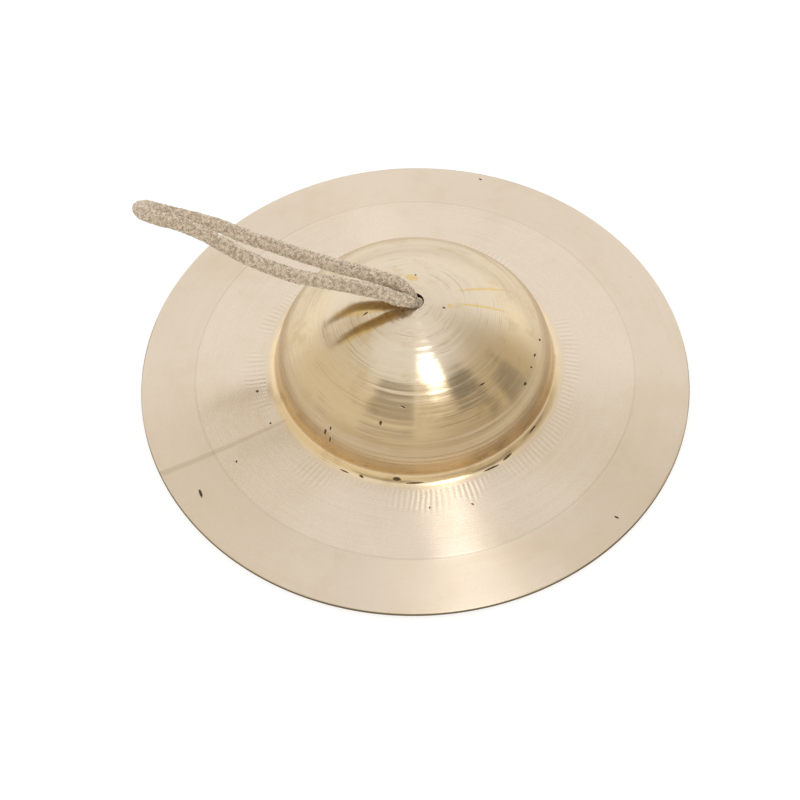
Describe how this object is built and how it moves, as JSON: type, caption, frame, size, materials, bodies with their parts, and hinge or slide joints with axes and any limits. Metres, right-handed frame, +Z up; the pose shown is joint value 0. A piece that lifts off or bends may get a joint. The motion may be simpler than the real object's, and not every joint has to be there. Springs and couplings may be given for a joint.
{
  "type": "hand cymbal",
  "caption": "Small brass hand cymbal with a tall round bell, a wide gently sloping brim and a braided cotton finger loop knotted through the centre hole.",
  "frame": {"origin": "centre of the rim on the plane that the rim rests on", "axes": "+Z up through the bell's hole, the finger loop leans towards -X at rest"},
  "size_m": [0.15, 0.15, 0.0659],
  "materials": {
    "cymbal_brass": "lathe-turned and hammered, bright pale yellow, with fine turning rings",
    "cotton_cord": "braided undyed cotton, slightly fuzzy",
    "cord_ends": "the same cotton, cut and frayed at the ends"
  },
  "bodies": {
    "cymbal": {"cymbal_plate": "cymbal_brass"},
    "knot": {"cord_neck": "cotton_cord", "cord_knot": "cotton_cord", "cord_tail_left": "cord_ends", "cord_tail_right": "cord_ends"},
    "loop": {"hand_loop": "cotton_cord"}
  },
  "joints": [
    {"name": "cord_swivel", "type": "hinge", "parent": "cymbal", "child": "knot", "pos_m": [0, 0, 0.035], "axis": [0, 0, 1], "continuous": true},
    {"name": "loop_tilt", "type": "hinge", "parent": "knot", "child": "loop", "pos_m": [0, 0, 0.0366], "axis": [0, 1, 0], "range_deg": [-12, 60]}
  ]
}
